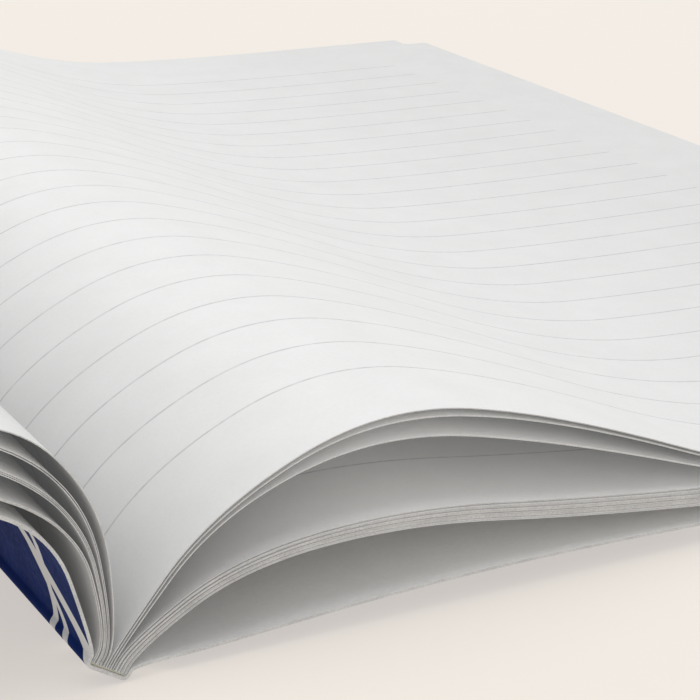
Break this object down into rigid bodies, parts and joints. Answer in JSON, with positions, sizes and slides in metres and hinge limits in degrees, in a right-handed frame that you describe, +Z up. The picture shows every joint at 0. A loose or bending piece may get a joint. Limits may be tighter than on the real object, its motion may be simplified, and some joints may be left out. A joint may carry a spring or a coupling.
{
  "type": "soft-cover pilot logbook",
  "caption": "Soft-cover pilot logbook lying open: ruled leaves fan out of a glued spine between a front and a back cover that close together.",
  "frame": {"origin": "centre of the open book's footprint, on the table it lies on", "axes": "+X to the right across the open book, +Y from the foot of the pages to their head, +Z up"},
  "size_m": [0.2946, 0.2032, 0.0272],
  "materials": {
    "paper": "matt white ruled writing paper",
    "cover_card": "navy printed card with a satin film outside, white inside",
    "hot_melt_glue": "cream hot-melt glue"
  },
  "bodies": {
    "back_cover": {"back_cover": "cover_card"},
    "spine": {"spine_wrap": "cover_card", "spine_glue": "hot_melt_glue", "right_block_root": "paper", "right_leaf_3_root": "paper", "right_leaf_2_root": "paper", "open_page_root": "paper", "left_page_root": "paper", "left_leaf_2_root": "paper", "left_leaf_3_root": "paper", "left_leaf_4_root": "paper"},
    "right_block_1": {"right_block_1": "paper"},
    "right_block_2": {"right_block_2": "paper"},
    "right_block_3": {"right_block_3": "paper"},
    "right_block_4": {"right_block_4": "paper"},
    "right_block_5": {"right_block_5": "paper"},
    "right_leaf_3_1": {"right_leaf_3_1": "paper"},
    "right_leaf_3_2": {"right_leaf_3_2": "paper"},
    "right_leaf_3_3": {"right_leaf_3_3": "paper"},
    "right_leaf_3_4": {"right_leaf_3_4": "paper"},
    "right_leaf_3_5": {"right_leaf_3_5": "paper"},
    "right_leaf_2_1": {"right_leaf_2_1": "paper"},
    "right_leaf_2_2": {"right_leaf_2_2": "paper"},
    "right_leaf_2_3": {"right_leaf_2_3": "paper"},
    "right_leaf_2_4": {"right_leaf_2_4": "paper"},
    "right_leaf_2_5": {"right_leaf_2_5": "paper"},
    "open_page_1": {"open_page_1": "paper"},
    "open_page_2": {"open_page_2": "paper"},
    "open_page_3": {"open_page_3": "paper"},
    "open_page_4": {"open_page_4": "paper"},
    "open_page_5": {"open_page_5": "paper"},
    "left_page_1": {"left_page_1": "paper"},
    "left_page_2": {"left_page_2": "paper"},
    "left_page_3": {"left_page_3": "paper"},
    "left_page_4": {"left_page_4": "paper"},
    "left_page_5": {"left_page_5": "paper"},
    "left_leaf_2_1": {"left_leaf_2_1": "paper"},
    "left_leaf_2_2": {"left_leaf_2_2": "paper"},
    "left_leaf_2_3": {"left_leaf_2_3": "paper"},
    "left_leaf_2_4": {"left_leaf_2_4": "paper"},
    "left_leaf_2_5": {"left_leaf_2_5": "paper"},
    "left_leaf_3_1": {"left_leaf_3_1": "paper"},
    "left_leaf_3_2": {"left_leaf_3_2": "paper"},
    "left_leaf_3_3": {"left_leaf_3_3": "paper"},
    "left_leaf_3_4": {"left_leaf_3_4": "paper"},
    "left_leaf_3_5": {"left_leaf_3_5": "paper"},
    "left_leaf_4_1": {"left_leaf_4_1": "paper"},
    "left_leaf_4_2": {"left_leaf_4_2": "paper"},
    "left_leaf_4_3": {"left_leaf_4_3": "paper"},
    "left_leaf_4_4": {"left_leaf_4_4": "paper"},
    "left_leaf_4_5": {"left_leaf_4_5": "paper"},
    "front_cover_1": {"front_cover_1": "cover_card"},
    "front_cover_2": {"front_cover_2": "cover_card"},
    "front_cover_3": {"front_cover_3": "cover_card"},
    "front_cover_4": {"front_cover_4": "cover_card"},
    "front_cover_5": {"front_cover_5": "cover_card"}
  },
  "joints": [
    {"name": "close_book", "type": "hinge", "parent": "back_cover", "child": "spine", "pos_m": [-0.0042, 0, 0.00144], "axis": [0, 1, 0], "range_deg": [0, 58.49]},
    {"name": "right_block_1_fold", "type": "hinge", "parent": "spine", "child": "right_block_1", "pos_m": [-0.00425, 0, 0.00324], "axis": [0, 1, 0], "range_deg": [-36, 2]},
    {"name": "right_block_2_fold", "type": "hinge", "parent": "right_block_1", "child": "right_block_2", "pos_m": [0.00671, 0, 0.00812], "axis": [0, 1, 0], "range_deg": [-21.3, 1.3]},
    {"name": "right_block_3_fold", "type": "hinge", "parent": "right_block_2", "child": "right_block_3", "pos_m": [0.02272, 0, 0.00924], "axis": [0, 1, 0], "range_deg": [-9.75, 0.75]},
    {"name": "right_block_4_fold", "type": "hinge", "parent": "right_block_3", "child": "right_block_4", "pos_m": [0.0426, 0, 0.0075], "axis": [0, 1, 0], "range_deg": [-3.98, 0.47]},
    {"name": "right_block_5_fold", "type": "hinge", "parent": "right_block_4", "child": "right_block_5", "pos_m": [0.0742, 0, 0.00278], "axis": [0, 1, 0], "range_deg": [-0.67, 8]},
    {"name": "right_leaf_3_1_fold", "type": "hinge", "parent": "spine", "child": "right_leaf_3_1", "pos_m": [-0.00501, 0, 0.00372], "axis": [0, 1, 0], "range_deg": [-13.95, 0.95]},
    {"name": "right_leaf_3_2_fold", "type": "hinge", "parent": "right_leaf_3_1", "child": "right_leaf_3_2", "pos_m": [0.00347, 0, 0.0122], "axis": [0, 1, 0], "range_deg": [-28.65, 1.65]},
    {"name": "right_leaf_3_3_fold", "type": "hinge", "parent": "right_leaf_3_2", "child": "right_leaf_3_3", "pos_m": [0.01874, 0, 0.01716], "axis": [0, 1, 0], "range_deg": [-29.7, 1.7]},
    {"name": "right_leaf_3_4_fold", "type": "hinge", "parent": "right_leaf_3_3", "child": "right_leaf_3_4", "pos_m": [0.03838, 0, 0.0137], "axis": [0, 1, 0], "range_deg": [-6.81, 0.61]},
    {"name": "right_leaf_3_5_fold", "type": "hinge", "parent": "right_leaf_3_4", "child": "right_leaf_3_5", "pos_m": [0.06906, 0, 0.00478], "axis": [0, 1, 0], "range_deg": [-1.01, 15.31]},
    {"name": "right_leaf_2_1_fold", "type": "hinge", "parent": "spine", "child": "right_leaf_2_1", "pos_m": [-0.00523, 0, 0.00385], "axis": [0, 1, 0], "range_deg": [-8.7, 0.7]},
    {"name": "right_leaf_2_2_fold", "type": "hinge", "parent": "right_leaf_2_1", "child": "right_leaf_2_2", "pos_m": [0.00249, 0, 0.01304], "axis": [0, 1, 0], "range_deg": [-25.5, 1.5]},
    {"name": "right_leaf_2_3_fold", "type": "hinge", "parent": "right_leaf_2_2", "child": "right_leaf_2_3", "pos_m": [0.01691, 0, 0.02008], "axis": [0, 1, 0], "range_deg": [-39.67, 2.17]},
    {"name": "right_leaf_2_4_fold", "type": "hinge", "parent": "right_leaf_2_3", "child": "right_leaf_2_4", "pos_m": [0.03646, 0, 0.0161], "axis": [0, 1, 0], "range_deg": [-8.07, 0.67]},
    {"name": "right_leaf_2_5_fold", "type": "hinge", "parent": "right_leaf_2_4", "child": "right_leaf_2_5", "pos_m": [0.06669, 0, 0.00575], "axis": [0, 1, 0], "range_deg": [-1.13, 17.7]},
    {"name": "open_page_1_fold", "type": "hinge", "parent": "spine", "child": "open_page_1", "pos_m": [-0.00544, 0, 0.00398], "axis": [0, 1, 0], "range_deg": [-7.12, 0.62]},
    {"name": "open_page_2_fold", "type": "hinge", "parent": "open_page_1", "child": "open_page_2", "pos_m": [0.00203, 0, 0.01337], "axis": [0, 1, 0], "range_deg": [-25.5, 1.5]},
    {"name": "open_page_3_fold", "type": "hinge", "parent": "open_page_2", "child": "open_page_3", "pos_m": [0.01627, 0, 0.02078], "axis": [0, 1, 0], "range_deg": [-41.77, 2.27]},
    {"name": "open_page_4_fold", "type": "hinge", "parent": "open_page_3", "child": "open_page_4", "pos_m": [0.03578, 0, 0.01663], "axis": [0, 1, 0], "range_deg": [-7.75, 0.66]},
    {"name": "open_page_5_fold", "type": "hinge", "parent": "open_page_4", "child": "open_page_5", "pos_m": [0.06597, 0, 0.00618], "axis": [0, 1, 0], "range_deg": [-1.14, 17.92]},
    {"name": "left_page_1_fold", "type": "hinge", "parent": "spine", "child": "left_page_1", "pos_m": [-0.00565, 0, 0.00411], "axis": [0, 1, 0], "range_deg": [-2.3, 42.3]},
    {"name": "left_page_2_fold", "type": "hinge", "parent": "left_page_1", "child": "left_page_2", "pos_m": [-0.00732, 0, 0.016], "axis": [0, 1, 0], "range_deg": [-2.2, 40.2]},
    {"name": "left_page_3_fold", "type": "hinge", "parent": "left_page_2", "child": "left_page_3", "pos_m": [-0.01887, 0, 0.02715], "axis": [0, 1, 0], "range_deg": [-2.65, 49.65]},
    {"name": "left_page_4_fold", "type": "hinge", "parent": "left_page_3", "child": "left_page_4", "pos_m": [-0.03879, 0, 0.0261], "axis": [0, 1, 0], "range_deg": [-1.15, 18.15]},
    {"name": "left_page_5_fold", "type": "hinge", "parent": "left_page_4", "child": "left_page_5", "pos_m": [-0.06881, 0, 0.01517], "axis": [0, 1, 0], "range_deg": [-12.05, 0.86]},
    {"name": "left_leaf_2_1_fold", "type": "hinge", "parent": "spine", "child": "left_leaf_2_1", "pos_m": [-0.0059, 0, 0.00427], "axis": [0, 1, 0], "range_deg": [-2.43, 45.03]},
    {"name": "left_leaf_2_2_fold", "type": "hinge", "parent": "left_leaf_2_1", "child": "left_leaf_2_2", "pos_m": [-0.00811, 0, 0.01607], "axis": [0, 1, 0], "range_deg": [-2.32, 42.72]},
    {"name": "left_leaf_2_3_fold", "type": "hinge", "parent": "left_leaf_2_2", "child": "left_leaf_2_3", "pos_m": [-0.02059, 0, 0.02617], "axis": [0, 1, 0], "range_deg": [-2.45, 45.45]},
    {"name": "left_leaf_2_4_fold", "type": "hinge", "parent": "left_leaf_2_3", "child": "left_leaf_2_4", "pos_m": [-0.04049, 0, 0.02478], "axis": [0, 1, 0], "range_deg": [-1.1, 17.1]},
    {"name": "left_leaf_2_5_fold", "type": "hinge", "parent": "left_leaf_2_4", "child": "left_leaf_2_5", "pos_m": [-0.07051, 0, 0.01385], "axis": [0, 1, 0], "range_deg": [-12.34, 0.87]},
    {"name": "left_leaf_3_1_fold", "type": "hinge", "parent": "spine", "child": "left_leaf_3_1", "pos_m": [-0.00624, 0, 0.00448], "axis": [0, 1, 0], "range_deg": [-2.56, 47.76]},
    {"name": "left_leaf_3_2_fold", "type": "hinge", "parent": "left_leaf_3_1", "child": "left_leaf_3_2", "pos_m": [-0.00898, 0, 0.01617], "axis": [0, 1, 0], "range_deg": [-2.54, 47.34]},
    {"name": "left_leaf_3_3_fold", "type": "hinge", "parent": "left_leaf_3_2", "child": "left_leaf_3_3", "pos_m": [-0.0226, 0, 0.02467], "axis": [0, 1, 0], "range_deg": [-2.15, 39.15]},
    {"name": "left_leaf_3_4_fold", "type": "hinge", "parent": "left_leaf_3_3", "child": "left_leaf_3_4", "pos_m": [-0.04247, 0, 0.02293], "axis": [0, 1, 0], "range_deg": [-1.02, 15.53]},
    {"name": "left_leaf_3_5_fold", "type": "hinge", "parent": "left_leaf_3_4", "child": "left_leaf_3_5", "pos_m": [-0.07259, 0, 0.01227], "axis": [0, 1, 0], "range_deg": [-12.23, 0.87]},
    {"name": "left_leaf_4_1_fold", "type": "hinge", "parent": "spine", "child": "left_leaf_4_1", "pos_m": [-0.00658, 0, 0.0047], "axis": [0, 1, 0], "range_deg": [-2.71, 50.91]},
    {"name": "left_leaf_4_2_fold", "type": "hinge", "parent": "left_leaf_4_1", "child": "left_leaf_4_2", "pos_m": [-0.00993, 0, 0.01622], "axis": [0, 1, 0], "range_deg": [-2.79, 52.59]},
    {"name": "left_leaf_4_3_fold", "type": "hinge", "parent": "left_leaf_4_2", "child": "left_leaf_4_3", "pos_m": [-0.02459, 0, 0.02275], "axis": [0, 1, 0], "range_deg": [-1.77, 31.27]},
    {"name": "left_leaf_4_4_fold", "type": "hinge", "parent": "left_leaf_4_3", "child": "left_leaf_4_4", "pos_m": [-0.04445, 0, 0.02084], "axis": [0, 1, 0], "range_deg": [-0.97, 14.47]},
    {"name": "left_leaf_4_5_fold", "type": "hinge", "parent": "left_leaf_4_4", "child": "left_leaf_4_5", "pos_m": [-0.07466, 0, 0.01043], "axis": [0, 1, 0], "range_deg": [-12.34, 0.87]},
    {"name": "front_cover_1_fold", "type": "hinge", "parent": "spine", "child": "front_cover_1", "pos_m": [-0.00772, 0, 0.00364], "axis": [0, 1, 0], "range_deg": [-2.9, 54.9]},
    {"name": "front_cover_2_fold", "type": "hinge", "parent": "front_cover_1", "child": "front_cover_2", "pos_m": [-0.01233, 0, 0.01632], "axis": [0, 1, 0], "range_deg": [-2.95, 55.95]},
    {"name": "front_cover_3_fold", "type": "hinge", "parent": "front_cover_2", "child": "front_cover_3", "pos_m": [-0.02768, 0, 0.02101], "axis": [0, 1, 0], "range_deg": [-1.45, 24.45]},
    {"name": "front_cover_4_fold", "type": "hinge", "parent": "front_cover_3", "child": "front_cover_4", "pos_m": [-0.04752, 0, 0.01893], "axis": [0, 1, 0], "range_deg": [-0.95, 13.95]},
    {"name": "front_cover_5_fold", "type": "hinge", "parent": "front_cover_4", "child": "front_cover_5", "pos_m": [-0.07773, 0, 0.00853], "axis": [0, 1, 0], "range_deg": [-13.04, 0.91]}
  ],
  "couplings": [
    {"joint": "right_block_1_fold", "follows": "close_book", "ratio": -0.58133},
    {"joint": "right_block_2_fold", "follows": "close_book", "ratio": -0.34196},
    {"joint": "right_block_3_fold", "follows": "close_book", "ratio": -0.15388},
    {"joint": "right_block_4_fold", "follows": "close_book", "ratio": -0.059843},
    {"joint": "right_block_5_fold", "follows": "close_book", "ratio": 0.12537},
    {"joint": "right_leaf_3_1_fold", "follows": "close_book", "ratio": -0.22227},
    {"joint": "right_leaf_3_2_fold", "follows": "close_book", "ratio": -0.46165},
    {"joint": "right_leaf_3_3_fold", "follows": "close_book", "ratio": -0.47874},
    {"joint": "right_leaf_3_4_fold", "follows": "close_book", "ratio": -0.10601},
    {"joint": "right_leaf_3_5_fold", "follows": "close_book", "ratio": 0.24436},
    {"joint": "right_leaf_2_1_fold", "follows": "close_book", "ratio": -0.13678},
    {"joint": "right_leaf_2_2_fold", "follows": "close_book", "ratio": -0.41035},
    {"joint": "right_leaf_2_3_fold", "follows": "close_book", "ratio": -0.64117},
    {"joint": "right_leaf_2_4_fold", "follows": "close_book", "ratio": -0.12652},
    {"joint": "right_leaf_2_5_fold", "follows": "close_book", "ratio": 0.28329},
    {"joint": "open_page_1_fold", "follows": "close_book", "ratio": -0.11114},
    {"joint": "open_page_2_fold", "follows": "close_book", "ratio": -0.41035},
    {"joint": "open_page_3_fold", "follows": "close_book", "ratio": -0.67537},
    {"joint": "open_page_4_fold", "follows": "close_book", "ratio": -0.1214},
    {"joint": "open_page_5_fold", "follows": "close_book", "ratio": 0.28698},
    {"joint": "left_page_1_fold", "follows": "close_book", "ratio": 0.68392},
    {"joint": "left_page_2_fold", "follows": "close_book", "ratio": 0.64972},
    {"joint": "left_page_3_fold", "follows": "close_book", "ratio": 0.8036},
    {"joint": "left_page_4_fold", "follows": "close_book", "ratio": 0.29067},
    {"joint": "left_page_5_fold", "follows": "close_book", "ratio": -0.1914},
    {"joint": "left_leaf_2_1_fold", "follows": "close_book", "ratio": 0.72837},
    {"joint": "left_leaf_2_2_fold", "follows": "close_book", "ratio": 0.69076},
    {"joint": "left_leaf_2_3_fold", "follows": "close_book", "ratio": 0.73521},
    {"joint": "left_leaf_2_4_fold", "follows": "close_book", "ratio": 0.27357},
    {"joint": "left_leaf_2_5_fold", "follows": "close_book", "ratio": -0.196},
    {"joint": "left_leaf_3_1_fold", "follows": "close_book", "ratio": 0.77283},
    {"joint": "left_leaf_3_2_fold", "follows": "close_book", "ratio": 0.76599},
    {"joint": "left_leaf_3_3_fold", "follows": "close_book", "ratio": 0.63262},
    {"joint": "left_leaf_3_4_fold", "follows": "close_book", "ratio": 0.24792},
    {"joint": "left_leaf_3_5_fold", "follows": "close_book", "ratio": -0.19424},
    {"joint": "left_leaf_4_1_fold", "follows": "close_book", "ratio": 0.82412},
    {"joint": "left_leaf_4_2_fold", "follows": "close_book", "ratio": 0.85148},
    {"joint": "left_leaf_4_3_fold", "follows": "close_book", "ratio": 0.50439},
    {"joint": "left_leaf_4_4_fold", "follows": "close_book", "ratio": 0.23082},
    {"joint": "left_leaf_4_5_fold", "follows": "close_book", "ratio": -0.19606},
    {"joint": "front_cover_1_fold", "follows": "close_book", "ratio": 0.88909},
    {"joint": "front_cover_2_fold", "follows": "close_book", "ratio": 0.90619},
    {"joint": "front_cover_3_fold", "follows": "close_book", "ratio": 0.39325},
    {"joint": "front_cover_4_fold", "follows": "close_book", "ratio": 0.22227},
    {"joint": "front_cover_5_fold", "follows": "close_book", "ratio": -0.20743}
  ]
}
